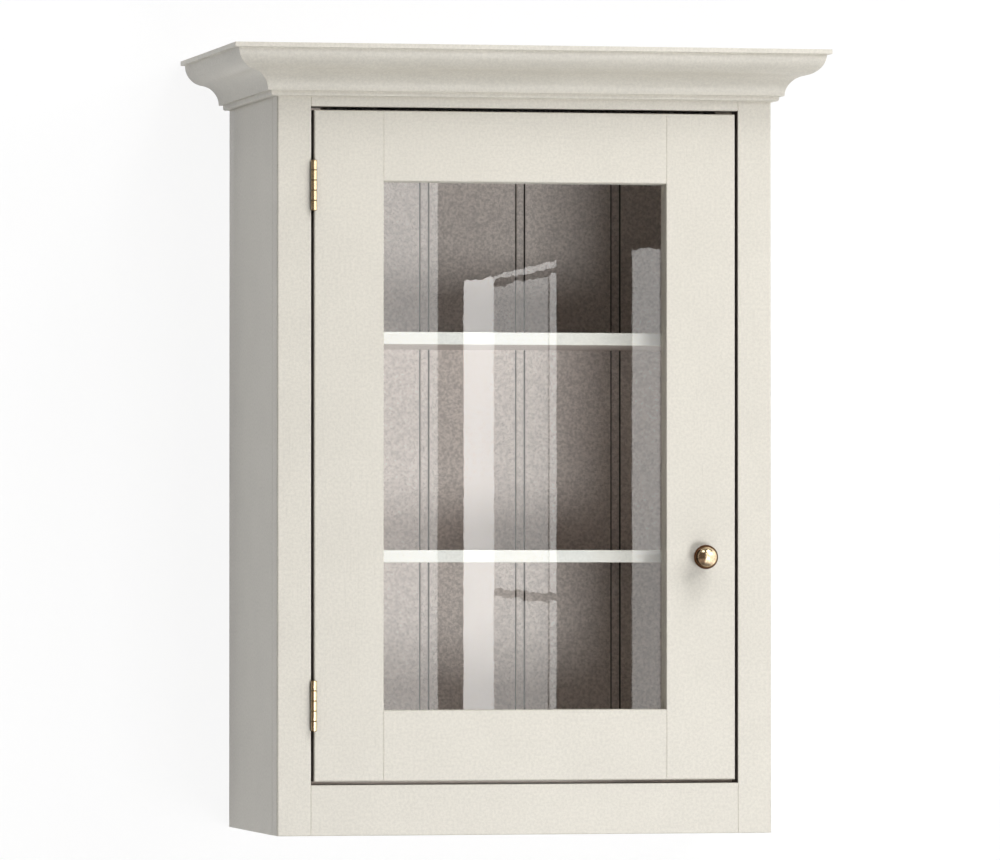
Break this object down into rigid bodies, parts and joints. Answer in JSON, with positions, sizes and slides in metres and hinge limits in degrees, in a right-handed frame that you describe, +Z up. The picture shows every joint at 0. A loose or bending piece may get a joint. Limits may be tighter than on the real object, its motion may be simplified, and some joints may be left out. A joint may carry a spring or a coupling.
{
  "type": "glazed wall cabinet",
  "caption": "Wall-hung painted timber cabinet with a moulded cornice, a beaded board back, shelves and one inset glazed door on butt hinges with a ball knob.",
  "frame": {"origin": "middle of the cabinet's bottom edge on the wall plane", "axes": "+X to the right seen from the room, +Y into the wall, +Z up"},
  "size_m": [0.7212, 0.3906, 0.9336],
  "materials": {
    "painted_timber": "satin paint in warm cream over close-grained timber",
    "bare_timber": "unfinished beech and pine, hidden",
    "hinge_brass": "polished",
    "knob_brass": "aged and polished",
    "zinc_steel": "zinc plated",
    "magnet_steel": "nickel plated",
    "clear_glass": "clear float glass"
  },
  "bodies": {
    "cabinet": {"side_panel_left": "painted_timber", "side_panel_right": "painted_timber", "top_panel": "painted_timber", "bottom_panel": "painted_timber", "hanging_rail_top": "painted_timber", "hanging_rail_bottom": "painted_timber", "back_board_1": "painted_timber", "back_board_2": "painted_timber", "back_board_3": "painted_timber", "back_board_4": "painted_timber", "back_board_5": "painted_timber", "face_frame_stile_left": "painted_timber", "face_frame_stile_right": "painted_timber", "face_frame_rail_top": "painted_timber", "face_frame_rail_bottom": "painted_timber", "cornice_front": "painted_timber", "cornice_left": "painted_timber", "cornice_right": "painted_timber", "shelf_upper": "painted_timber", "shelf_lower": "painted_timber", "door_stop": "painted_timber", "face_frame_dowels": "bare_timber", "cornice_glue_blocks": "bare_timber", "hinge_upper_frame_leaf": "hinge_brass", "hinge_lower_frame_leaf": "hinge_brass", "hinge_upper_pin": "hinge_brass", "hinge_lower_pin": "hinge_brass", "hinge_frame_screws": "hinge_brass", "back_board_pins": "zinc_steel", "shelf_pins": "zinc_steel", "door_stop_screws": "zinc_steel", "catch_magnet": "magnet_steel"},
    "door": {"door_stile_hinge": "painted_timber", "door_stile_knob": "painted_timber", "door_rail_top": "painted_timber", "door_rail_bottom": "painted_timber", "glazing_bead_top": "painted_timber", "glazing_bead_bottom": "painted_timber", "glazing_bead_left": "painted_timber", "glazing_bead_right": "painted_timber", "glass_pane": "clear_glass", "hinge_upper_door_leaf": "hinge_brass", "hinge_lower_door_leaf": "hinge_brass", "hinge_door_screws": "hinge_brass", "knob": "knob_brass", "knob_screw": "zinc_steel", "keeper_plate": "zinc_steel", "keeper_screws": "zinc_steel", "glazing_pins": "zinc_steel"}
  },
  "joints": [
    {"name": "door_hinge", "type": "hinge", "parent": "cabinet", "child": "door", "pos_m": [-0.2563, -0.3339, 0.461], "axis": [0, 0, -1], "range_deg": [0, 180]}
  ]
}
